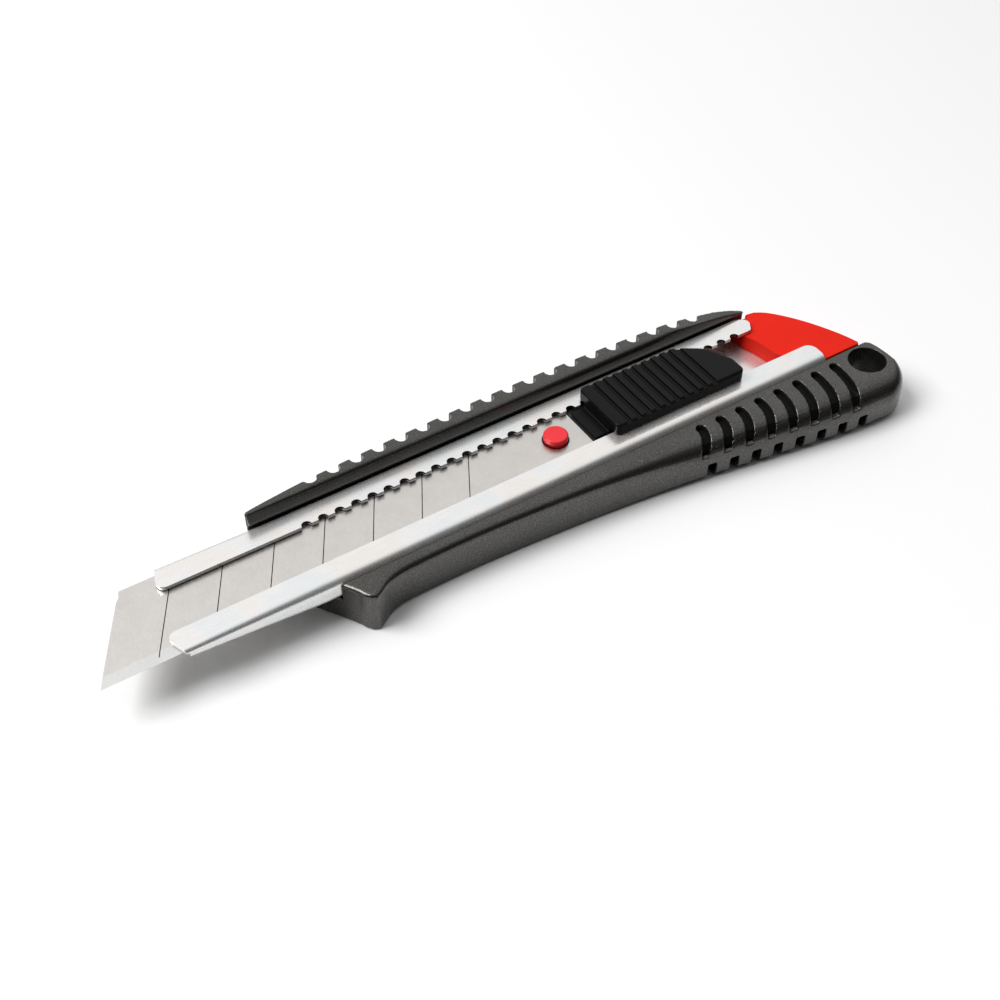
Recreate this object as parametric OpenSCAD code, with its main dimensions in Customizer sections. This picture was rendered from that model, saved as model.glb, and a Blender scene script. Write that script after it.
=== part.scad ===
/* [Blade] */
// Width of the snap-off blade
blade_w = 18; // [18]
// Thickness of the blade
blade_t = 0.5; // [0.4:0.05:0.6]
// Length of one snap-off segment along the edge
segment_pitch = 10; // [8:0.5:12]
// Length of the blade from its point to its tail
blade_length = 100; // [96:1:102]
// Angle of the score lines and the front edge
score_angle = 60; // [56:1:64]

/* [Sleeve] */
// Outer width of the folded steel sleeve
sleeve_w = 20; // [20]
// Thickness of the sleeve's sheet
sheet_t = 0.7; // [0.6:0.05:0.75]
// Height of the lips' upper face above the blade's upper face
lip_top = 0.95; // [0.9:0.05:1]
// Outer depth of the sleeve below the blade's upper face
sleeve_depth = 4.1; // [4:0.05:4.2]
// Spacing of the lock notches along the upper lip
notch_pitch = 3.3333; // [3.3:0.0001:3.35]
// Number of lock notches
notch_count = 30; // [28:1:30]

/* [Handle] */
// Height of the handle's back below the blade's upper face
back_depth = 9; // [8.8:0.1:9.4]
// Height of the scalloped rail above the blade's upper face
rail_top = 4.3; // [4:0.1:4.6]
// Radius of the hanging hole
hang_r = 3.75; // [3.5:0.05:3.8]
// Spacing of the scallops along the rail
scallop_pitch = 4.8; // [4.7:0.05:4.9]
// Number of scallops
scallop_count = 19; // [10:1:19]
// Spacing of the grip slots
slot_pitch = 4.77; // [4.7:0.01:4.8]
// Number of grip slots on each face
slot_count = 8; // [4:1:8]
// Thickness of the casting's wall over the grip insert
grip_wall = 1.2; // [1:0.1:1.4]

/* [Slider] */
// Width of the thumb slider
slider_w = 13; // [12.6:0.1:13]
// Height of the thumb slider's top above the blade's upper face
slider_top = 3.6; // [3.5:0.1:4]
// Spacing of the thumb grooves
groove_pitch = 2.26; // [2.1:0.02:2.3]
// Number of thumb grooves
groove_count = 10; // [6:1:10]
// Play of the thumb slider on the carrier, each way
thumb_play = 1.2; // [1:0.1:1.3]

/* [Hidden] */
$fn = 48;

// Plan positions, from the blade's point (x) and the blade's middle line (y)
tail_x = 165;
side_max = 23.2;
rail_max = 13.7;
z_back = -back_depth;
half_sleeve = sleeve_w / 2;
lip_under = lip_top - sheet_t;
floor_z = -sleeve_depth + sheet_t;
lower_lip_edge = -5;
upper_lip_edge = 4.72;
ramp_end = 40;
first_notch = 44.35;
notch_r = 0.97;
pocket_x = [30, 152.65];
rail_inner = 9.5;
first_scallop = 49;
scallop_r = 1.25;
scallop_inset = 0.6;
wall_by_scallop = 0.65;
nose_notch = 24;
nose_x = first_notch + nose_notch * notch_pitch;
peg_x = 94.3;
peg_r = 2.4;
hang_at = [159.6, -14.3];
seam_y = -9.7;
insert_x = [113, 153.6];
slot_first = 119.3;
slot_r = 0.95;
slot_end_y = -12.25;
slot_face_z = -2.9;
slot_back_z = -4.9;
slot_rake = 2.9;
slot_back_rake = 0.6;
rivets_x = [62, 112];
slider_x = 103.9;
slider_end = 134.4;
neck_x = 106;
leg_x = 109;
leg_l = 9;
pin_at = [107, 3];
pin_r = 0.6;
pin_depth = 2.6;
carrier_end = 129.6;
blade_hole_r = 2.65;
grind_w = 2.2;
cap_top = 0.15;

// ---------- shapes that several parts share ----------

// A closed path whose corners [x, y, r] are rounded by arcs of radius r
function unit(v) = v / norm(v);
function corner(a, p, b, r, n = 8) =
    r <= 0 ? [[p.x, p.y]] :
    let (u = unit([a.x - p.x, a.y - p.y]), v = unit([b.x - p.x, b.y - p.y]),
         half = acos(min(1, max(-1, u * v))) / 2,
         d = r / tan(half),
         c = [p.x, p.y] + unit(u + v) * r / sin(half),
         s = [p.x, p.y] + u * d - c, e = [p.x, p.y] + v * d - c,
         a0 = atan2(s.y, s.x), a1 = atan2(e.y, e.x),
         sweep = a1 - a0 > 180 ? a1 - a0 - 360 : a1 - a0 < -180 ? a1 - a0 + 360 : a1 - a0)
    [for (i = [0:n]) c + r * [cos(a0 + sweep * i / n), sin(a0 + sweep * i / n)]];
function rounded(p, n = 8) =
    [for (i = [0:len(p) - 1])
        each corner(p[(i + len(p) - 1) % len(p)], p[i], p[(i + 1) % len(p)], p[i][2], n)];

// A smooth curve through the points p, in steps of n to each span
function spline_at(a, b, c, d, t) =
    0.5 * (2 * b + (c - a) * t + (2 * a - 5 * b + 4 * c - d) * t * t
           + (3 * b - a - 3 * c + d) * t * t * t);
function spline(p, n = 5) = let (m = len(p) - 1)
    [for (i = [0:m - 1], k = [0:n - 1])
        spline_at(p[max(0, i - 1)], p[i], p[i + 1], p[min(m, i + 2)], k / n), p[m]];

// A slab between two heights with both rims rounded.
// Each outline point is [x, y, rim radius]
function outward(q, i) = let (m = len(q), a = q[(i + m - 1) % m], b = q[(i + 1) % m])
    unit([b.y - a.y, a.x - b.x]);
function rim(q, i, t, z_end, way) = let (r = q[i][2], n = outward(q, i), d = r * (1 - cos(t)))
    [q[i].x - n.x * d, q[i].y - n.y * d, z_end + way * r * (1 - sin(t))];
// Cuts a flat outline into triangles, one ear at a time; idx lists the points still standing
function turn(a, b, c) = (b.x - a.x) * (c.y - a.y) - (b.y - a.y) * (c.x - a.x);
function is_ear(q, idx, i) = let (m = len(idx), h = (i + m - 1) % m, j = (i + 1) % m,
        a = q[idx[h]], b = q[idx[i]], c = q[idx[j]])
    turn(a, b, c) > 0 && len([for (k = [0:m - 1]) let (p = q[idx[k]])
        if (k != h && k != i && k != j
            && turn(a, b, p) >= 0 && turn(b, c, p) >= 0 && turn(c, a, p) >= 0) k]) == 0;
function ears(q, idx) = let (m = len(idx)) m == 3 ? [idx] :
    let (i = [for (k = [0:m - 1]) if (is_ear(q, idx, k)) k][0])
    [[idx[(i + m - 1) % m], idx[i], idx[(i + 1) % m]],
     each ears(q, [for (k = [0:m - 1]) if (k != i) idx[k]])];

module rounded_slab(q, z0, z1, steps = 3) {
    m = len(q);
    low = [for (k = [0:steps]) 90 - 90 * k / steps];
    rings = [for (t = low) [for (i = [0:m - 1]) rim(q, i, t, z0, 1)],
             for (k = [steps:-1:0]) [for (i = [0:m - 1]) rim(q, i, low[k], z1, -1)]];
    top = len(rings) - 1;
    flat = ears(rings[0], [for (i = [0:m - 1]) i]);
    polyhedron([for (g = rings, p = g) p],
               [each flat,
                for (k = [0:top - 1], i = [0:m - 1]) let (j = (i + 1) % m)
                    each [[k * m + i, (k + 1) * m + i, (k + 1) * m + j],
                          [k * m + i, (k + 1) * m + j, k * m + j]],
                for (t = flat) [for (k = [2:-1:0]) top * m + t[k]]]);
}

// A bar along X with rounded edges; each station is [x, half width, low z, high z, edge radius]
module bar_loft(st) {
    sec = [for (s = st) let (w = s[1], r = s[4])
        rounded([[-w, s[2], r], [w, s[2], r], [w, s[3], r], [-w, s[3], r]], 4)];
    m = len(sec[0]);
    last = len(st) - 1;
    polyhedron([for (k = [0:last], p = sec[k]) [st[k][0], p.x, p.y]],
               [[for (i = [0:m - 1]) i],
                for (k = [0:last - 1], i = [0:m - 1]) let (j = (i + 1) % m)
                    each [[k * m + i, (k + 1) * m + i, (k + 1) * m + j],
                          [k * m + i, (k + 1) * m + j, k * m + j]],
                [for (i = [m - 1:-1:0]) last * m + i]]);
}

module prism(p, z0, z1) translate([0, 0, z0]) linear_extrude(z1 - z0) polygon(p);

// Moves the model so that the middle of its base is the origin
module place() translate([-tail_x / 2, (side_max - rail_max) / 2, back_depth]) children();

// ---------- handle ----------

// Height y of the line s at the place x
function y_on(s, x) = let (k = max([for (i = [0:len(s) - 2]) if (s[i].x <= x) i]),
    t = (x - s[k].x) / (s[k + 1].x - s[k].x))
    s[k].y + t * (s[k + 1].y - s[k].y);
function scallop_x(i) = first_scallop + i * scallop_pitch;
function scallop_y(x) = max(y_on(rail_side(), x) - scallop_inset, half_sleeve + wall_by_scallop + scallop_r);

// Side of the grip from the finger guard to the tail, [x, y, rim radius]
grip_side = [[47.2, -15.7, 1], [48.6, -15, 1.2], [50.2, -14, 1.4], [52.8, -13.1, 1.6], [58, -12.7, 1.6],
             [72, -12.8, 1.6], [90, -13.9, 1.8], [104, -15.3, 2.6], [116, -17, 3.9],
             [130, -19.4, 4.3], [143, -21.6, 4.4], [151.5, -22.8, 4.4], [158.7, -side_max, 4.4]];

// Outline of the grip and the tail, anticlockwise from above
tail_r = 6.3;
tail_at = [tail_x - tail_r, tail_r - side_max];
function tail_arc() = [for (a = [-75:15:0])
    [tail_at.x + tail_r * cos(a), tail_at.y + tail_r * sin(a), 1.2 + 3.2 * pow(-a / 90, 0.8)]];
function grip_outline() = [
    [41.2, -7, 0.3], [43.3, -10.4, 0.7], [44.9, -13.2, 0.9], [45.3, -14.2, 0.9], [46.1, -15.2, 0.9],
    each spline(grip_side, 2),
    each tail_arc(), [164.9, -14.4, 1], [164.6, -11.8, 0.9], [164, -10.3, 0.6],
    [163.1, seam_y, 0.3], [150.4, seam_y, 0.3], [149.4, -7, 0.3]];

function rail_side() = spline([[35.3, 10.4], [37, 10.8], [41, 11.3], [48, 12], [60, 12.7], [78, 13.4],
    [97, rail_max], [117, 13.2], [130, 12.5], [140, 11.7], [145, 11], [147.6, 10.3]], 2);
function rail_outline() = [[35, 7.5], [147.7, 7.5],
    for (i = [len(rail_side()) - 1:-1:0]) rail_side()[i]];

// Inside space of the rear grip, which the insert fills
function inset_point(q, i, d) = let (n = outward(q, i))
    [q[i].x - n.x * d, q[i].y - n.y * d, q[i][2] - d];
function insert_outline() = let (q = grip_outline(),
    side = [for (i = [0:len(q) - 1]) if (q[i].y < -14 && q[i].x > insert_x[0] - 1
                                         && q[i].x < insert_x[1] + 3) inset_point(q, i, grip_wall)])
    [[insert_x[0], -11.2, 0.4], each side, [insert_x[1], -11.2, 0.4]];

module grip_slot(x, rake) {
    reach = slot_end_y - y_on(grip_side, x);
    path = [for (k = [0:8]) [x - rake * pow(k / 7, 2), slot_end_y - reach * k / 7]];
    translate([path[0].x, path[0].y]) circle(slot_r);
    polygon([for (p = path) [p.x - slot_r, p.y], for (k = [8:-1:0]) [path[k].x + slot_r, path[k].y]]);
}

module handle_casting() {
    color([0.29, 0.29, 0.28]) place() difference() {
        union() {
            rounded_slab(grip_outline(), z_back, 0);
            difference() {
                prism(rail_outline(), z_back, rail_top);
                // the rail's top falls away towards the tail
                rotate([90, 0, 0]) translate([0, 0, -20]) linear_extrude(20)
                    polygon([[128, 6], [128, rail_top], [135, rail_top - 0.7],
                             [141, rail_top - 1.5], [145, rail_top - 2.4], [149, rail_top - 3.6], [150, 6]]);
                for (i = [0:scallop_count - 1])
                    translate([scallop_x(i), scallop_y(scallop_x(i)), z_back - 1])
                        cylinder(r = scallop_r, h = back_depth + rail_top + 2);
            }
            // floor under the sleeve
            prism([[42.6, -8.5], [41.3, -7.2], [36.8, 0], [35.6, 7.8], [35.6, 9], [150.3, 9],
                   [150.3, -8.5]], z_back, -sleeve_depth);
        }
        // the sleeve lies under the rail's inner edge
        translate([pocket_x[0], -half_sleeve, -sleeve_depth])
            cube([pocket_x[1] - pocket_x[0], sleeve_w, sleeve_depth + lip_top + 0.15]);
        translate([pocket_x[0], -half_sleeve, 0])
            cube([pocket_x[1] - pocket_x[0], half_sleeve + rail_inner, rail_top + 1]);
        translate([hang_at.x, hang_at.y, z_back - 1]) cylinder(r = hang_r, h = back_depth + 2);
        insert_solid();
        for (i = [0:slot_count - 1]) {
            translate([0, 0, slot_face_z]) linear_extrude(5)
                grip_slot(slot_first + i * slot_pitch, slot_rake);
            translate([0, 0, z_back - 1]) linear_extrude(slot_back_z - z_back + 1)
                grip_slot(slot_first + i * slot_pitch, slot_back_rake);
        }
        rivet_solids();
    }
}

module insert_solid() rounded_slab(insert_outline(), z_back + grip_wall, -grip_wall);

module grip_insert() {
    color([0.05, 0.05, 0.05]) place() insert_solid();
}

// ---------- sleeve ----------

module rivet_solids() {
    for (x = rivets_x) translate([x, 0, 0]) {
        translate([0, 0, z_back + 0.3]) cylinder(r = 1.5, h = floor_z - z_back - 0.4);
        translate([0, 0, floor_z - 0.6]) cylinder(r = 2.4, h = 0.55);
        translate([0, 0, z_back + 0.3]) cylinder(r = 2.6, h = 1.2);
    }
}

module blade_sleeve() {
    w = half_sleeve;
    color([0.85, 0.85, 0.86]) place() difference() {
        intersection() {
            difference() {
                bar_loft([[12, w, -1.25, lip_top, 0.95], [14, w, -1.25, lip_top, 0.95],
                          [ramp_end, w, -sleeve_depth, lip_top, 1], [153, w, -sleeve_depth, lip_top, 1]]);
                bar_loft([[11, w - sheet_t, -1.25 + sheet_t, lip_under, 0.3],
                          [14.2, w - sheet_t, -1.25 + sheet_t, lip_under, 0.3],
                          [ramp_end + 0.2, w - sheet_t, floor_z, lip_under, 0.4],
                          [154, w - sheet_t, floor_z, lip_under, 0.4]]);
            }
            union() {
                prism([[15.1, -11], [17.9, 11], [142, 11], [142, 9], [147.8, 9], [147.8, -9],
                       [152.6, -9], [152.6, -11]], -6, 0.1);
                prism(rounded([[12.7, lower_lip_edge, 1.4], [15.1, -11, 0], [152.6, -11, 0],
                               [152.6, lower_lip_edge, 1.9]]), 0.1, 2);
                prism(rounded([[15.7, upper_lip_edge, 1.5], [145.3, upper_lip_edge, 0.9],
                               [147, 7.4, 1.3], [141.6, 11, 0], [17.9, 11, 0]]), 0.1, 2);
            }
        }
        for (i = [0:notch_count - 1])
            translate([first_notch + i * notch_pitch, upper_lip_edge, 0])
                cylinder(r = notch_r, h = 2, $fn = 32);
        rivet_solids();
    }
}

module sleeve_rivets() {
    color([0.7, 0.7, 0.72]) place() rivet_solids();
}

// ---------- blade and carriage ----------

module blade() {
    run = blade_w / tan(score_angle);
    h = blade_w / 2;
    color([0.8, 0.79, 0.77]) place() difference() {
        intersection() {
            // section across the blade, ground on both faces of the edge
            rotate([90, 0, 90]) linear_extrude(blade_length)
                polygon([[h, 0], [h, -blade_t], [grind_w - h, -blade_t], [-h, -blade_t / 2],
                         [grind_w - h, 0]]);
            prism([[0, -h], [run - 1.25, h - 2.2], [run - 0.35, h - 1.2], [run, h],
                   [blade_length - 2, h], [blade_length, h - 2], [blade_length, 2 - h],
                   [blade_length - 2, -h]], -2, 2);
        }
        translate([peg_x, 0, -2]) cylinder(r = blade_hole_r, h = 4);
        for (i = [1:7])
            translate([i * segment_pitch, -h, -0.12]) rotate([0, 0, score_angle])
                translate([-1, -0.08, 0]) cube([blade_w / sin(score_angle) + 2, 0.16, 1]);
    }
}

// The carrier runs under the lips; its neck stands up between them
module blade_carrier() {
    neck_w = 4.3;
    color([0.06, 0.06, 0.06]) place() difference() {
        union() {
            prism(rounded([[88.5, -6, 3], [101, -8, 0.5], [101, 8, 0.5], [88.5, 6, 3]]),
                  -blade_t - 0.7, -blade_t - 0.05);
            rotate([90, 0, 0]) translate([0, 0, -8.9]) linear_extrude(17.8)
                polygon([[100.2, -1.2], [100.2, -0.1], [carrier_end, -0.1], [carrier_end, floor_z + 0.15],
                         [110, floor_z + 0.15]]);
            translate([neck_x, -neck_w, -0.2]) cube([carrier_end - neck_x, 2 * neck_w, lip_top + 0.2]);
        }
        translate([peg_x, 0, -2]) cylinder(r = peg_r, h = 4);
        // pocket for the slider's leg, with room for its play
        translate([leg_x - thumb_play - 0.05, -2.6, -1.6]) cube([leg_l + 2 * thumb_play + 0.1, 3.6, 4]);
        // channel in which the lock spring bends
        translate([neck_x - 1, 1.85, -1.8]) cube([128 - neck_x, 9, 4]);
        translate([pin_at.x, pin_at.y, -pin_depth]) cylinder(r = pin_r, h = 2);
    }
}

// Stands in the carrier's front tongue and passes through the blade's hole
module blade_peg() {
    plate = -blade_t - 0.7;
    color([0.85, 0.13, 0.14]) place() translate([peg_x, 0, 0]) rotate_extrude()
        polygon([[0, plate], [peg_r, plate], [peg_r, 1.2], [peg_r - 0.06, 1.35], [peg_r - 0.16, 1.44],
                 [peg_r - 0.34, 1.5], [0, 1.5]]);
}

// Leaf on edge with a round nose that sits in one lock notch
module lock_spring() {
    y0 = 2.6;
    t = 0.4;
    color([0.75, 0.75, 0.77]) place() translate([0, 0, -1.7]) linear_extrude(1.7 + lip_top - 0.05)
        difference() {
            union() {
                polygon([[pin_at.x, y0], [nose_x - 2.4, 3.5], [nose_x + 2, 3.5], [nose_x + 2, 3.5 + t],
                         [nose_x - 2.6, 3.5 + t], [pin_at.x, y0 + t]]);
                translate([nose_x, upper_lip_edge]) circle(r = 0.85, $fn = 32);
                translate([nose_x - 0.85, 3.6]) square([1.7, upper_lip_edge - 3.6]);
                translate(pin_at) circle(r = pin_r + 0.5, $fn = 32);
            }
            translate(pin_at) circle(r = pin_r, $fn = 32);
        }
}

module spring_pin() {
    color([0.65, 0.65, 0.67]) place() translate([pin_at.x, pin_at.y, -pin_depth])
        cylinder(r = pin_r, h = pin_depth + lip_top);
}

function slider_outline() = let (w = slider_w / 2) [for (p = rounded([[slider_x, -w, 1], [slider_end, -w, 1.2],
    [slider_end, -2.4, 3.5], [slider_end - 2.6, 3, 5], [slider_end - 8, w, 4], [slider_x, w, 1]], 6))
    [p.x, p.y, 0.5]];

module thumb_slider() {
    w = slider_w / 2;
    base = lip_top + 0.1;
    color([0.07, 0.07, 0.07]) place() difference() {
        union() {
            rounded_slab(slider_outline(), base, slider_top, 3);
            translate([leg_x, -2.4, -1.4]) cube([leg_l, 3.2, 2 + base]);
            // low front plate over the blade's tail
            rotate([90, 0, 0]) translate([0, 0, -4.2]) linear_extrude(8.4)
                polygon([[100.6, 0.15], [104.6, 0.15], [104.6, 1.5], [103.8, 1.5], [103.6, 0.75],
                         [100.6, 0.65]]);
        }
        // hollow under the top, open towards the carrier, with room over the spring
        difference() {
            translate([slider_x + 0.9, -w + 1.1, base - 1]) cube([23, 2 * w - 2.2, 1.8]);
            translate([leg_x, -2.4, base - 2]) cube([leg_l, 3.2, 5]);
        }
        for (i = [0:groove_count - 1])
            translate([106.2 + i * groove_pitch, -w - 1, slider_top - 0.6]) cube([1.1, slider_w + 2, 2]);
    }
}

// ---------- end cap ----------

function cap_outline() = [[152.8, seam_y + 0.05], [161.5, seam_y + 0.05],
    each spline([[162, -9], [160.9, -5.6], [159.3, -2], [157.3, 1.8], [154.9, 5.4], [152.4, 8.3],
                 [150.2, 9.8]], 3),
    [148.1, 9.8], [148, 0], [152.8, 0]];

module end_cap() {
    color([0.93, 0.18, 0.12]) place() difference() {
        union() {
            intersection() {
                prism(cap_outline(), z_back, cap_top);
                translate([150.6, -12, z_back - 1]) cube([14, 24, 12]);
            }
            prism(cap_outline(), -sleeve_depth, cap_top);
            // tongue inside the sleeve
            prism([[147, -9], [151, -9], [151, 9], [143.6, 9],
                   each spline([[143.6, 5], [144.6, 2], [145.1, -1], [145.6, -3.6], [147, -5.6]], 3)],
                  floor_z + 0.1, cap_top);
        }
        // recess for the thumb at the outer end
        translate([166, -2, -6]) cylinder(r = 5.4, h = 3.4);
    }
}

handle_casting();
grip_insert();
blade_sleeve();
sleeve_rivets();
blade();
blade_carrier();
blade_peg();
lock_spring();
spring_pin();
thumb_slider();
end_cap();
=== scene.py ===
"""Looks of a snap-off utility knife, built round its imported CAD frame."""
import math

import bmesh
import bpy
from mathutils import Matrix, Vector


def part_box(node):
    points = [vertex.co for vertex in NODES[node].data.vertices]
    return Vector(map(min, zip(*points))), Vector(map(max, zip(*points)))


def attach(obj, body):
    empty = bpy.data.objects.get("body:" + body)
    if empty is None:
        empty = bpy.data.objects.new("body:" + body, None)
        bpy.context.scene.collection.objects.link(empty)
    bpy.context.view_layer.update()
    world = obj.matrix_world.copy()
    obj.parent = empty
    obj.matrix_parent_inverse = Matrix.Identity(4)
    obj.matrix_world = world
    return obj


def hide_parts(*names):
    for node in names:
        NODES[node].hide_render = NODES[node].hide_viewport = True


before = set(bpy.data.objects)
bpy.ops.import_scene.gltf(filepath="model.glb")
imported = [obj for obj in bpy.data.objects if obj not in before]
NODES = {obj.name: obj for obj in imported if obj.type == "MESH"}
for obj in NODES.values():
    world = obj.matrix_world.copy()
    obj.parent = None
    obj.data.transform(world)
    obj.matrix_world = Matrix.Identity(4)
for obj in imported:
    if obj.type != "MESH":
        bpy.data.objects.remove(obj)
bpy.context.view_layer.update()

# Shapes are built in millimetres from the blade's point (x), its middle line (y) and its upper face (z),
# and are then moved to the frame.
MM = 0.001
blade_low, blade_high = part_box("blade")
ORIGIN = Vector((blade_low.x, (blade_low.y + blade_high.y) / 2, blade_high.z))


def span(node):
    """Lowest and highest corner of a CAD node, in millimetres from the blade's point."""
    low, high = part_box(node)
    return (low - ORIGIN) / MM, (high - ORIGIN) / MM


CASTING_LOW, CASTING_HIGH = span("handle_casting")
SLEEVE_LOW, SLEEVE_HIGH = span("blade_sleeve")
SLIDER_LOW, SLIDER_HIGH = span("thumb_slider")
CAP_LOW, CAP_HIGH = span("end_cap")

BACK = CASTING_LOW.z
TAIL_X = CASTING_HIGH.x
SIDE = -CASTING_LOW.y
HALF_SLEEVE = SLEEVE_HIGH.y
LIP_TOP = SLEEVE_HIGH.z
SLEEVE_BASE = SLEEVE_LOW.z
SHEET = 0.7
LIP_UNDER = LIP_TOP - SHEET
FLOOR_Z = SLEEVE_BASE + SHEET
LOWER_LIP_Y = -5
UPPER_LIP_Y = 4.72
SEAM_Y = -9.7
SLEEVE_ROOM = 0.05
NOTCH_FIRST, NOTCH_PITCH, NOTCH_COUNT, NOTCH_R = 44.35, 3.3333, 30, 0.97
PEG_X = 94.3
BLADE_HOLE_R = 2.65
BLADE_ANGLE = math.radians(60)
SEGMENT = 10
BLADE_L, BLADE_W, BLADE_T = (blade_high - blade_low) / MM
EDGE_WIDTH = 2.2
SCORE_WIDTH = 0.18


# ---------- outlines ----------

def spline(points, step):
    """A smooth curve through the points, in steps of about that length."""
    last = len(points) - 1
    curve = []
    for i in range(last):
        a, b, c, d = (points[k] for k in (max(0, i - 1), i, i + 1, min(last, i + 2)))
        n = max(1, round(math.dist(b[:2], c[:2]) / step))
        for k in range(n):
            t = k / n
            curve.append(tuple(
                0.5 * (2 * q + (r - p) * t + (2 * p - 5 * q + 4 * r - s) * t ** 2
                       + (3 * q - p - 3 * r + s) * t ** 3)
                for p, q, r, s in zip(a, b, c, d)))
    return curve + [tuple(points[-1])]


def rounded(corners, n=8):
    """A closed outline whose corners (x, y, radius) are arcs."""
    path = []
    for i, (x, y, radius) in enumerate(corners):
        here = Vector((x, y))
        if not radius:
            path.append((x, y))
            continue
        before = (Vector(corners[i - 1][:2]) - here).normalized()
        after = (Vector(corners[(i + 1) % len(corners)][:2]) - here).normalized()
        half = before.angle(after) / 2
        centre = here + (before + after).normalized() * radius / math.sin(half)
        start = here + before * radius / math.tan(half) - centre
        turn = start.angle_signed(here + after * radius / math.tan(half) - centre)
        for k in range(n + 1):
            point = centre + Matrix.Rotation(-turn * k / n, 2) @ start
            path.append((point.x, point.y))
    return path


def height_on(line, x):
    """y of the line at x."""
    for a, b in zip(line, line[1:]):
        if a[0] <= x <= b[0]:
            return a[1] + (b[1] - a[1]) * (x - a[0]) / (b[0] - a[0])
    raise ValueError(f"{x} is off the line")


def with_rim(path, radius):
    return [(x, y, radius) for x, y in path]


# ---------- solids ----------

def add_object(name, bm):
    mesh = bpy.data.meshes.new(name)
    bm.to_mesh(mesh)
    bm.free()
    obj = bpy.data.objects.new(name, mesh)
    bpy.context.scene.collection.objects.link(obj)
    return obj


def loft(bm, rings):
    """Closes a stack of rings, each anticlockwise seen from the last one, into a solid."""
    rows = [[bm.verts.new(p) for p in ring] for ring in rings]
    m = len(rows[0])
    for a, b in zip(rows, rows[1:]):
        for i in range(m):
            j = (i + 1) % m
            bm.faces.new((a[i], a[j], b[j], b[i]))
    bm.faces.new(rows[0][::-1])
    bm.faces.new(rows[-1])


def slab(name, outline, z0, z1, steps=8, low_share=0.5):
    """A slab with rounded rims; the outline runs anticlockwise as (x, y, upper rim radius)."""
    m = len(outline)
    normals = []
    for i in range(m):
        a, b = outline[i - 1], outline[(i + 1) % m]
        normals.append(Vector((b[1] - a[1], a[0] - b[0])).normalized())
    turns = [math.pi / 2 * (1 - k / steps) for k in range(steps + 1)]
    rings = []
    for z, way, share, order in ((z0, 1, low_share, turns), (z1, -1, 1, turns[::-1])):
        for t in order:
            inward, rise = share * (1 - math.cos(t)), way * share * (1 - math.sin(t))
            rings.append([(x - n.x * r * inward, y - n.y * r * inward, z + rise * r)
                          for (x, y, r), n in zip(outline, normals)])
    bm = bmesh.new()
    loft(bm, rings)
    return add_object(name, bm)


def prisms(name, outlines, z0, z1):
    """Upright prisms over several outlines, in one object."""
    bm = bmesh.new()
    for path in outlines:
        loft(bm, [[(p[0], p[1], z) for p in path] for z in (z0, z1)])
    return add_object(name, bm)


def ring_of(x, y, radius, n=48):
    return [(x + radius * math.cos(2 * math.pi * k / n), y + radius * math.sin(2 * math.pi * k / n))
            for k in range(n)]


def rectangle(x0, y0, x1, y1):
    return [(x0, y0), (x1, y0), (x1, y1), (x0, y1)]


def across(name, profile, y0, y1):
    """A prism along Y over an (x, z) profile that runs anticlockwise seen from the front."""
    bm = bmesh.new()
    loft(bm, [[(x, y, z) for x, z in profile] for y in (y1, y0)])
    return add_object(name, bm)


def bar(name, stations, n=10):
    """A bar along X with rounded edges; a station is (x, half width, low z, high z, edge radius)."""
    bm = bmesh.new()
    rings = []
    for x, w, low, high, r in stations:
        section = rounded([(-w, low, r), (w, low, r), (w, high, r), (-w, high, r)], n)
        rings.append([(x, y, z) for y, z in section])
    loft(bm, rings)
    return add_object(name, bm)


def settle(obj):
    """Applies the object's modifiers."""
    graph = bpy.context.evaluated_depsgraph_get()
    mesh = bpy.data.meshes.new_from_object(obj.evaluated_get(graph))
    obj.modifiers.clear()
    obj.data = mesh


def combine(base, operation, *others):
    """Joins the others to the base or cuts them from it, one by one, and removes them."""
    for other in others:
        step = base.modifiers.new(operation, "BOOLEAN")
        step.operation = operation
        step.solver = "EXACT"
        step.material_mode = "TRANSFER"
        step.object = other
    settle(base)
    for other in others:
        bpy.data.objects.remove(other)


def soften(obj, voxel, rounds, share):
    """One skin with softly rounded edges, as a casting or a moulding has."""
    skin = obj.modifiers.new("skin", "REMESH")
    skin.mode = "VOXEL"
    skin.voxel_size = voxel
    soft = obj.modifiers.new("soft", "SMOOTH")
    soft.factor = 0.5
    soft.iterations = rounds
    thin = obj.modifiers.new("thin", "DECIMATE")
    thin.ratio = share
    settle(obj)


def ease_edges(obj, width):
    """Breaks the sharp edges."""
    bevel = obj.modifiers.new("edges", "BEVEL")
    bevel.width = width
    bevel.segments = 2
    bevel.angle_limit = math.radians(35)
    bevel.miter_outer = "MITER_ARC"
    settle(obj)


def finish_piece(obj, body, node, finish=None):
    """Moves a piece to the frame, hangs it on the body it rides on, and hides the CAD node it stands
    for.
    """
    obj.data.transform(Matrix.Translation(ORIGIN) @ Matrix.Scale(MM, 4))
    obj.data.shade_smooth()
    flat = obj.modifiers.new("normals", "WEIGHTED_NORMAL")
    flat.weight = 80
    flat.keep_sharp = True
    if finish:
        obj.data.materials.clear()
        obj.data.materials.append(finish)
    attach(obj, body)
    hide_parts(node)


# ---------- materials ----------

def material(name, **values):
    made = bpy.data.materials.new(name)
    made.use_nodes = True
    shader = made.node_tree.nodes["Principled BSDF"]
    for key, value in values.items():
        shader.inputs[key.replace("_", " ")].default_value = value
    return made, made.node_tree, shader


def place(tree, stretch=(1, 1, 1)):
    """Coordinates in the frame, stretched along its axes."""
    where = tree.nodes.new("ShaderNodeTexCoord")
    scale = tree.nodes.new("ShaderNodeMapping")
    scale.inputs["Scale"].default_value = stretch
    tree.links.new(where.outputs["Object"], scale.inputs["Vector"])
    return scale.outputs["Vector"]


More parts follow.
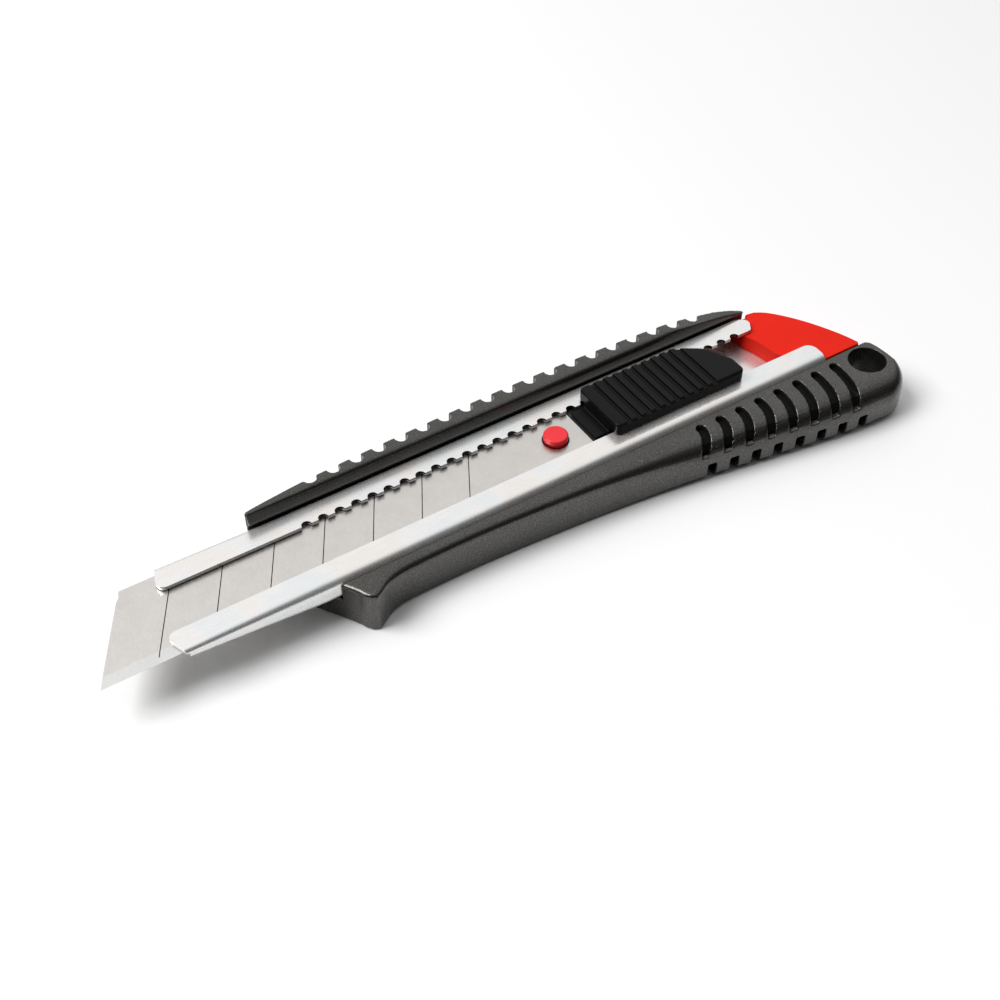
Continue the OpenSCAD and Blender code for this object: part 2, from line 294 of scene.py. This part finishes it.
def noise(tree, where, scale, detail=2, roughness=0.5):
    node = tree.nodes.new("ShaderNodeTexNoise")
    node.inputs["Scale"].default_value = scale
    node.inputs["Detail"].default_value = detail
    node.inputs["Roughness"].default_value = roughness
    tree.links.new(where, node.inputs["Vector"])
    return node.outputs["Fac"]


def ramp(tree, factor, *stops):
    """A colour ramp; each stop is (place, colour or grey)."""
    node = tree.nodes.new("ShaderNodeValToRGB")
    elements = node.color_ramp.elements
    while len(elements) < len(stops):
        elements.new(0.5)
    for element, (at, colour) in zip(elements, stops):
        element.position = at
        element.color = (*colour, 1) if isinstance(colour, tuple) else (colour, colour, colour, 1)
    tree.links.new(factor, node.inputs["Fac"])
    return node.outputs["Color"]


def mix(tree, kind, factor, a, b):
    node = tree.nodes.new("ShaderNodeMix")
    node.data_type = "RGBA"
    node.blend_type = kind
    for socket, value in ((node.inputs[0], factor), (node.inputs[6], a), (node.inputs[7], b)):
        if isinstance(value, bpy.types.NodeSocket):
            tree.links.new(value, socket)
        else:
            socket.default_value = value
    return node.outputs[2]


def bump(tree, shader, height, strength, depth):
    node = tree.nodes.new("ShaderNodeBump")
    node.inputs["Strength"].default_value = strength
    node.inputs["Distance"].default_value = depth
    tree.links.new(height, node.inputs["Height"])
    tree.links.new(node.outputs["Normal"], shader.inputs["Normal"])


def grey(tree, factor, low, high):
    """Spreads a factor between two values."""
    node = tree.nodes.new("ShaderNodeMapRange")
    node.inputs["From Min"].default_value = 0.3
    node.inputs["From Max"].default_value = 0.7
    node.inputs["To Min"].default_value = low
    node.inputs["To Max"].default_value = high
    tree.links.new(factor, node.inputs["Value"])
    return node.outputs["Result"]


def casting_finish():
    """Gunmetal enamel with fine metal flecks on a zinc casting."""
    made, tree, shader = material("gunmetal_enamel", Metallic=0.9, Coat_Weight=0.5, Coat_Roughness=0.12)
    where = place(tree)
    fleck = noise(tree, where, 5200, 2, 0.6)
    cloud = noise(tree, where, 130, 3, 0.6)
    body = ramp(tree, fleck, (0.36, (0.042, 0.041, 0.038)), (0.56, (0.07, 0.068, 0.063)),
                (0.68, (0.15, 0.145, 0.135)))
    shade = ramp(tree, cloud, (0.3, 0.92), (0.7, 1.06))
    tree.links.new(mix(tree, "MULTIPLY", 1.0, body, shade), shader.inputs["Base Color"])
    tree.links.new(grey(tree, fleck, 0.4, 0.28), shader.inputs["Roughness"])
    bump(tree, shader, noise(tree, where, 2600, 3, 0.6), 0.12, 0.00005)
    return made


def steel_finish(name, colour, rough, streak, tint, metallic=1.0):
    """Rolled stainless steel: fine streaks along X, faint handling marks and a little colour."""
    made, tree, shader = material(name, Metallic=metallic)
    along = place(tree, (0.06, 1, 1))
    where = place(tree)
    lines = noise(tree, along, 3500, 3, 0.7)
    smear = noise(tree, where, 260, 3, 0.6)
    hue = noise(tree, where, 120, 2, 0.5)
    warm = tuple(c * w for c, w in zip(colour, (1.0, 1 - tint * 0.6, 1 - tint)))
    cool = tuple(c * w for c, w in zip(colour, (1 - tint, 1 - tint * 0.4, 1.0)))
    base = ramp(tree, hue, (0.38, warm), (0.5, colour), (0.62, cool))
    dull = ramp(tree, lines, (0.35, 1 - streak), (0.65, 1.0))
    tree.links.new(mix(tree, "MULTIPLY", 1.0, base, dull), shader.inputs["Base Color"])
    tree.links.new(grey(tree, smear, *rough), shader.inputs["Roughness"])
    bump(tree, shader, lines, 0.015, 0.00001)
    return made


def blade_finish(name, low, high, rough, metallic=1.0):
    """Satin blade steel, ground across the blade."""
    made, tree, shader = material(name, Metallic=metallic)
    grain = noise(tree, place(tree, (1, 0.2, 1)), 4200, 3, 0.7)
    stain = noise(tree, place(tree), 300, 4, 0.6)
    flat = ramp(tree, grain, (0.3, low), (0.7, high))
    stained = mix(tree, "MULTIPLY", 1.0, flat, ramp(tree, stain, (0.3, 0.95), (0.6, 1.0)))
    tree.links.new(stained, shader.inputs["Base Color"])
    tree.links.new(grey(tree, grain, *rough), shader.inputs["Roughness"])
    bump(tree, shader, grain, 0.04, 0.00001)
    return made


def plastic_finish(name, colour, rough, grain, depth, **more):
    """Moulded plastic with a fine grain and slight unevenness of colour."""
    made, tree, shader = material(name, **more)
    where = place(tree)
    cloud = noise(tree, where, 180, 3, 0.6)
    texture = noise(tree, where, grain, 3, 0.6)
    low = tuple(c * 0.93 for c in colour)
    tree.links.new(ramp(tree, cloud, (0.3, low), (0.7, colour)), shader.inputs["Base Color"])
    tree.links.new(grey(tree, texture, rough - 0.04, rough + 0.05), shader.inputs["Roughness"])
    bump(tree, shader, texture, 0.25, depth)
    return made


casting_paint = casting_finish()
sleeve_steel = steel_finish("sleeve_steel", (0.84, 0.832, 0.82), (0.24, 0.3), 0.05, 0.05, 0.75)
# The sheet's cut edges and notch walls are painted near black: painted shade of the narrow gap under the
# lips and painted dark reflection, not the steel's own colour.
edge_shade_steel = steel_finish("sheet_edge_painted_shade", (0.05, 0.05, 0.048), (0.2, 0.3), 0.3, 0.02)
spring_steel = steel_finish("spring_steel", (0.62, 0.61, 0.6), (0.25, 0.4), 0.1, 0.05)
rivet_steel = steel_finish("rivet_steel", (0.55, 0.54, 0.53), (0.3, 0.45), 0.15, 0.03)
blade_steel = blade_finish("blade_steel", (0.63, 0.605, 0.58), (0.69, 0.665, 0.64), (0.3, 0.38))
ground_steel = blade_finish("ground_edge", (0.56, 0.565, 0.55), (0.62, 0.625, 0.61), (0.45, 0.55), 0.3)
# The score lines' groove walls are painted near black: painted shade in the grooves, not a colour of the
# steel.
score_groove_shade = blade_finish("score_line_painted_shade", (0.03, 0.03, 0.03), (0.06, 0.06, 0.06), (0.4, 0.5))
insert_rubber = plastic_finish("insert_rubber", (0.002, 0.002, 0.002), 0.7, 3000, 0.00003,
                               Specular_IOR_Level=0.15)
slider_plastic = plastic_finish("slider_plastic", (0.003, 0.003, 0.003), 0.3, 4500, 0.00002,
                                Specular_IOR_Level=0.12)
carrier_plastic = plastic_finish("carrier_plastic", (0.012, 0.012, 0.0125), 0.38, 3500, 0.00002)
peg_plastic = plastic_finish("peg_plastic", (0.78, 0.012, 0.02), 0.33, 3500, 0.00001)
cap_plastic = plastic_finish("cap_plastic", (0.74, 0.012, 0.002), 0.4, 3000, 0.00001,
                             Specular_IOR_Level=0.1)


# ---------- handle casting ----------

GRIP_SIDE = [(47.2, -15.7, 0.9), (48.6, -15, 1), (50.2, -14, 1.3), (52.8, -13.1, 1.6), (58, -12.7, 1.6),
             (72, -12.8, 1.6), (90, -13.9, 1.8), (104, -15.3, 2.6), (116, -17, 3.9),
             (130, -19.4, 4.3), (143, -21.6, 4.4), (151.5, -22.8, 4.4), (158.7, -SIDE, 4.4)]
TAIL_R = 6.3
RAIL_SIDE = [(35.3, 10.4, 0.3), (37, 10.8, 0.5), (41, 11.3, 0.5), (48, 12, 0.5), (60, 12.7, 0.5),
             (78, 13.4, 0.5), (97, 13.7, 0.5), (117, 13.2, 0.5), (130, 12.5, 0.5), (140, 11.7, 0.5),
             (145, 11, 0.4), (147.6, 10.3, 0.3)]
RAIL_INNER = [(35.15, 9.95, 0.3), (35.4, 9.65, 0.35), (35.9, 9.5, 0.4), (37, 9.5, 0.5),
              (41, 9.5, 0.8), (48, 9.5, 1.1), (60, 9.5, 1.2),
              (130, 9.5, 1.2), (140, 9.5, 0.9), (145, 9.5, 0.6), (147.7, 9.5, 0.3)]
RAIL_TOP = CASTING_HIGH.z
SCALLOP_R = 1.25
SCALLOP_FIRST, SCALLOP_PITCH, SCALLOP_COUNT = 49, 4.8, 19
SCALLOP_INSET = 0.6
WALL_BY_SCALLOP = 0.65
SLOT_FIRST, SLOT_PITCH, SLOT_COUNT = 119.3, 4.77, 8
SLOT_R = 0.95
SLOT_END_Y = -12.25


def grip_outline():
    tail = []
    for k in range(-80, 1, 8):
        a = math.radians(k)
        tail.append((TAIL_X - TAIL_R + TAIL_R * math.cos(a), TAIL_R - SIDE + TAIL_R * math.sin(a),
                     1.2 + 3.2 * (-k / 90) ** 0.8))
    return ([(41.2, -7, 0.3), (43.3, -10.4, 0.7), (44.9, -13.2, 0.8), (45.3, -14.2, 0.8),
             (46.1, -15.2, 0.8)]
            + spline(GRIP_SIDE, 1.5) + tail
            + [(164.9, -14.4, 1), (164.6, -11.8, 0.9), (164, -10.3, 0.6), (163.1, SEAM_Y, 0.3),
               (150.4, SEAM_Y, 0.3), (149.4, -7, 0.3)])


def slot_outline(x, rake):
    """A slot from its round inner end out past the side of the grip, bending forward."""
    reach = SLOT_END_Y - height_on(GRIP_SIDE, x)
    path = [(x - rake * (k / 7) ** 2, SLOT_END_Y - reach * k / 7) for k in range(9)]
    cap = [(x + SLOT_R * math.cos(math.pi * k / 12), SLOT_END_Y + SLOT_R * math.sin(math.pi * k / 12))
           for k in range(1, 12)]
    return ([(px - SLOT_R, py) for px, py in path] + [(px + SLOT_R, py) for px, py in path[::-1]] + cap)


def build_casting():
    rail_line = spline(RAIL_SIDE, 1.2)
    grip = slab("handle_body", grip_outline(), BACK, 0)
    rail = slab("rail", RAIL_INNER + rail_line[::-1], BACK, RAIL_TOP, 6)
    fall = [(128, RAIL_TOP), (135, RAIL_TOP - 0.7), (141, RAIL_TOP - 1.5), (145, RAIL_TOP - 2.4),
            (149, RAIL_TOP - 3.6), (150, 6), (128, 6)]
    scallops = []
    for i in range(SCALLOP_COUNT):
        x = SCALLOP_FIRST + i * SCALLOP_PITCH
        y = max(height_on(rail_line, x) - SCALLOP_INSET, HALF_SLEEVE + WALL_BY_SCALLOP + SCALLOP_R)
        scallops.append(ring_of(x, y, SCALLOP_R))
    combine(rail, "DIFFERENCE", across("fall", fall, 5, 16),
            prisms("scallops", scallops, BACK - 1, RAIL_TOP + 1))
    tray = [(44.4, -8.5), (150.3, -8.5), (150.3, 9), (35.6, 9), (35.6, 7.8), (36.8, 0), (41.3, -7.2)]
    combine(grip, "UNION", rail, prisms("tray", [tray], BACK, SLEEVE_BASE))
    pocket = rectangle(30, -HALF_SLEEVE - SLEEVE_ROOM, 152.65, HALF_SLEEVE + SLEEVE_ROOM)
    hollow = [(113, -11.4), (116, -15.8), (140, -19.6), (153.6, -21.4), (153.6, -11.4)]
    slots = [SLOT_FIRST + SLOT_PITCH * i for i in range(SLOT_COUNT)]
    combine(grip, "DIFFERENCE",
            prisms("pocket", [pocket], SLEEVE_BASE, LIP_TOP + 0.12),
            prisms("hanging_hole", [ring_of(159.6, -14.3, 3.75, 96)], BACK - 1, 1),
            prisms("hollow", [hollow], BACK + 1.2, -1.2))
    combine(grip, "DIFFERENCE",
            prisms("front_slots", [slot_outline(x, 2.9) for x in slots], -2.9, 2),
            prisms("back_slots", [slot_outline(x, 0.6) for x in slots], BACK - 1, -4.9))
    soften(grip, 0.2, 3, 0.16)
    finish_piece(grip, "handle", "handle_casting", casting_paint)


build_casting()


# ---------- sleeve ----------

def build_sleeve():
    w = HALF_SLEEVE
    nose_z = -1.25
    outer = bar("sleeve_channel", [(12, w, nose_z, LIP_TOP, 0.95), (14, w, nose_z, LIP_TOP, 0.95),
                                   (40, w, SLEEVE_BASE, LIP_TOP, 1.8),
                                   (153, w, SLEEVE_BASE, LIP_TOP, 1.8)])
    inner = bar("inside", [(11, w - SHEET, nose_z + SHEET, LIP_UNDER, 0.3),
                           (14.2, w - SHEET, nose_z + SHEET, LIP_UNDER, 0.3),
                           (40.2, w - SHEET, FLOOR_Z, LIP_UNDER, 1.1),
                           (154, w - SHEET, FLOOR_Z, LIP_UNDER, 1.1)])
    outer.data.materials.append(sleeve_steel)
    inner.data.materials.append(sleeve_steel)
    combine(outer, "DIFFERENCE", inner)
    walls = [(15.1, -11), (17.9, 11), (142, 11), (142, 9), (147.8, 9), (147.8, -9),
             (152.6, -9), (152.6, -11)]
    lower = rounded([(12.7, LOWER_LIP_Y, 1.4), (15.1, -11, 0), (152.6, -11, 0),
                     (152.6, LOWER_LIP_Y, 1.9)])
    upper = rounded([(15.7, UPPER_LIP_Y, 1.5), (145.3, UPPER_LIP_Y, 0.9), (147, 7.4, 1.3),
                     (141.6, 11, 0), (17.9, 11, 0)])
    wall_top = 0.1
    keep = prisms("walls", [walls[::-1]], -6, wall_top)
    for lip in (lower, upper):
        combine(keep, "UNION", prisms("lip", [lip], wall_top - 0.001, 2))
    # The cut faces of the sleeve take the near-black edge finish, which is painted shade.
    keep.data.materials.append(edge_shade_steel)
    outer.data.materials.append(edge_shade_steel)
    combine(outer, "INTERSECT", keep)
    # The notch walls take the near-black edge finish too, which is painted shade.
    notches = prisms("notches", [ring_of(NOTCH_FIRST + NOTCH_PITCH * i, UPPER_LIP_Y, NOTCH_R)
                                 for i in range(NOTCH_COUNT)], 0, 2)
    notches.data.materials.append(edge_shade_steel)
    combine(outer, "DIFFERENCE", notches)
    ease_edges(outer, 0.05)
    finish_piece(outer, "handle", "blade_sleeve")


build_sleeve()


# ---------- slider ----------

GROOVE_FIRST, GROOVE_PITCH, GROOVE_COUNT = 106.2, 2.26, 10
GROOVE_W, GROOVE_DEPTH = 1.1, 0.6


def build_slider():
    low, high = SLIDER_LOW, SLIDER_HIGH
    w = high.y
    front = 103.9
    base = LIP_TOP + 0.1
    outline = rounded([(front, -w, 1), (high.x, -w, 1.2), (high.x, -2.4, 3.5), (high.x - 2.6, 3, 5),
                       (high.x - 8, w, 4), (front, w, 1)])
    body = slab("slider_body", with_rim(outline, 0.5), base, high.z, 6)
    # The black front plate reaches out past the slider's front over the blade's tail: this black sheet
    # is painted shadow, standing in for the slider's soft shadow and dark reflection on the blade there.
    combine(body, "UNION", prisms("leg", [rectangle(109, -2.4, 118, 0.8)], low.z, 2),
            across("front_plate_painted_shadow", [(low.x, 0.15), (104.6, 0.15), (104.6, 1.5), (103.8, 1.5),
                                   (103.6, 0.75), (low.x, 0.65)], -4.2, 4.2))
    grooves = [rectangle(GROOVE_FIRST + GROOVE_PITCH * i, -w - 1,
                         GROOVE_FIRST + GROOVE_W + GROOVE_PITCH * i, w + 1) for i in range(GROOVE_COUNT)]
    combine(body, "DIFFERENCE", prisms("grooves", grooves, high.z - GROOVE_DEPTH, high.z + 1))
    soften(body, 0.1, 2, 0.25)
    finish_piece(body, "slider", "thumb_slider", slider_plastic)


build_slider()


# ---------- blade ----------

def build_blade():
    h = BLADE_W / 2
    run = BLADE_W / math.tan(BLADE_ANGLE)
    section = [(h, 0), (EDGE_WIDTH - h, 0), (-h, -BLADE_T / 2), (EDGE_WIDTH - h, -BLADE_T),
               (h, -BLADE_T)]
    bm = bmesh.new()
    loft(bm, [[(x, y, z) for y, z in section[::-1]] for x in (-1, BLADE_L)])
    blade = add_object("blade_body", bm)
    plan = [(0, -h), (BLADE_L - 2, -h), (BLADE_L, 2 - h), (BLADE_L, h - 2), (BLADE_L - 2, h), (run, h),
            (run - 0.35, h - 1.2), (run - 1.25, h - 2.2)]
    blade.data.materials.append(blade_steel)
    combine(blade, "INTERSECT", prisms("plan", [plan], -2, 2))
    combine(blade, "DIFFERENCE", prisms("hole", [ring_of(PEG_X, 0, BLADE_HOLE_R, 64)], -2, 2))
    across_blade = Vector((math.cos(BLADE_ANGLE), math.sin(BLADE_ANGLE)))
    beside = Vector((across_blade.y, -across_blade.x)) * SCORE_WIDTH / 2
    scores = []
    for k in range(1, 8):
        foot = Vector((k * SEGMENT, -h)) - across_blade
        head = foot + across_blade * (BLADE_W / across_blade.y + 2)
        scores.append([foot - beside, foot + beside, head + beside, head - beside])
    grooves = prisms("scores", scores, -0.12, 1)
    # Painted shade: the grooves' walls take the near-black score finish.
    grooves.data.materials.append(score_groove_shade)
    combine(blade, "DIFFERENCE", grooves)
    blade.data.materials.append(ground_steel)
    ground = len(blade.data.materials) - 1
    for face in blade.data.polygons:
        if 0.9 < abs(face.normal.z) < 0.999:
            face.material_index = ground
    finish_piece(blade, "carriage", "blade")
    blade.data.shade_flat()


build_blade()


# ---------- peg ----------

def build_peg():
    low, high = span("blade_peg")
    radius = high.y
    rim = 0.35
    axis = (low.x + high.x) / 2
    profile = [(0, low.z), (radius, low.z), (radius, high.z - rim)]
    for k in range(1, 9):
        t = math.pi / 2 * k / 8
        profile.append((radius - rim * (1 - math.cos(t)), high.z - rim * (1 - math.sin(t))))
    bm = bmesh.new()
    loft(bm, [[(axis + x, y, z) for x, y in ring_of(0, 0, r, 64)] for r, z in profile[1:]])
    peg = add_object("peg", bm)
    finish_piece(peg, "carriage", "blade_peg", peg_plastic)


build_peg()


# ---------- end cap ----------

def build_cap():
    arc = spline([(162, -9), (160.9, -5.6), (159.3, -2), (157.3, 1.8), (154.9, 5.4), (152.4, 8.3),
                  (150.2, 9.8)], 0.6)
    rim = 0.55
    outline = ([(152.8, SEAM_Y + 0.05, 0.15), (161.5, SEAM_Y + 0.05, 0.3)] + with_rim(arc, rim)
               + [(148.1, 9.8, 0.2), (148, 0, 0.1)])
    cap = slab("cap_body", outline, CAP_LOW.z, CAP_HIGH.z, 6)
    under = prisms("under", [rectangle(140, -12, 152.8, 12)], CAP_LOW.z - 1, -1.0)
    combine(cap, "DIFFERENCE", under)
    tongue = [(147, -9), (151, -9), (151, 9), (143.6, 9)] + spline(
        [(143.6, 5), (144.6, 2), (145.1, -1), (145.6, -3.6), (147, -5.6)], 0.5)
    combine(cap, "UNION", prisms("tongue", [tongue], FLOOR_Z + 0.05, CAP_HIGH.z))
    soften(cap, 0.1, 3, 0.2)
    finish_piece(cap, "tail_cap", "end_cap", cap_plastic)


build_cap()


# ---------- CAD nodes that keep their shape ----------

KEPT = {"grip_insert": insert_rubber, "sleeve_rivets": rivet_steel,
        "blade_carrier": carrier_plastic, "lock_spring": spring_steel, "spring_pin": spring_steel}
for node, finish in KEPT.items():
    NODES[node].data.materials.clear()
    NODES[node].data.materials.append(finish)


# ---------- studio ----------

def aim(obj, direction, target, distance):
    """Puts an object that looks down its own -Z at a distance from the target."""
    obj.matrix_world = (Matrix.Translation(target + direction.normalized() * distance)
                        @ direction.to_track_quat("Z", "Y").to_matrix().to_4x4())


def direction_of(azimuth, elevation):
    a, e = math.radians(azimuth), math.radians(elevation)
    return Vector((math.sin(a) * math.cos(e), -math.cos(a) * math.cos(e), math.sin(e)))


def softbox(name, azimuth, elevation, distance, size, power):
    light = bpy.data.lights.new(name, "AREA")
    light.shape = "RECTANGLE"
    light.size, light.size_y = size
    light.energy = power
    obj = bpy.data.objects.new(name, light)
    bpy.context.scene.collection.objects.link(obj)
    aim(obj, direction_of(azimuth, elevation), Vector((0, 0, 0)), distance)


def studio():
    bm = bmesh.new()
    bmesh.ops.create_grid(bm, x_segments=1, y_segments=1, size=3)
    floor = add_object("studio_floor", bm)
    made, tree, shader = material("pale_floor", Roughness=0.8)
    shade = ramp(tree, noise(tree, place(tree), 3), (0.3, 0.86), (0.7, 0.88))
    tree.links.new(shade, shader.inputs["Base Color"])
    floor.data.materials.append(made)

    world = bpy.data.worlds.new("studio")
    world.use_nodes = True
    bpy.context.scene.world = world
    tree = world.node_tree
    where = tree.nodes.new("ShaderNodeTexCoord")
    toward = tree.nodes.new("ShaderNodeVectorMath")
    toward.operation = "DOT_PRODUCT"
    toward.inputs[1].default_value = direction_of(150, 60)
    tree.links.new(where.outputs["Generated"], toward.inputs[0])
    sky = ramp(tree, toward.outputs["Value"], (0.0, 0.02), (0.4, 0.06), (0.62, 0.45), (0.84, 0.97))
    tree.links.new(sky, tree.nodes["Background"].inputs["Color"])
    tree.nodes["Background"].inputs["Strength"].default_value = 1.0
    softbox("key", -112, 52, 1.2, (0.7, 0.7), 14)


def camera():
    lens = bpy.data.cameras.new("camera")
    lens.sensor_width = 36
    lens.lens = 52.906
    lens.clip_start = 0.01
    lens.clip_end = 10
    obj = bpy.data.objects.new("camera", lens)
    bpy.context.scene.collection.objects.link(obj)
    target = Vector((-5.552, -2.961, 9.0)) * MM
    aim(obj, direction_of(-32.646, 45.652), target, 0.265349)
    bpy.context.scene.camera = obj


studio()
camera()
bpy.context.scene.view_settings.view_transform = "Standard"
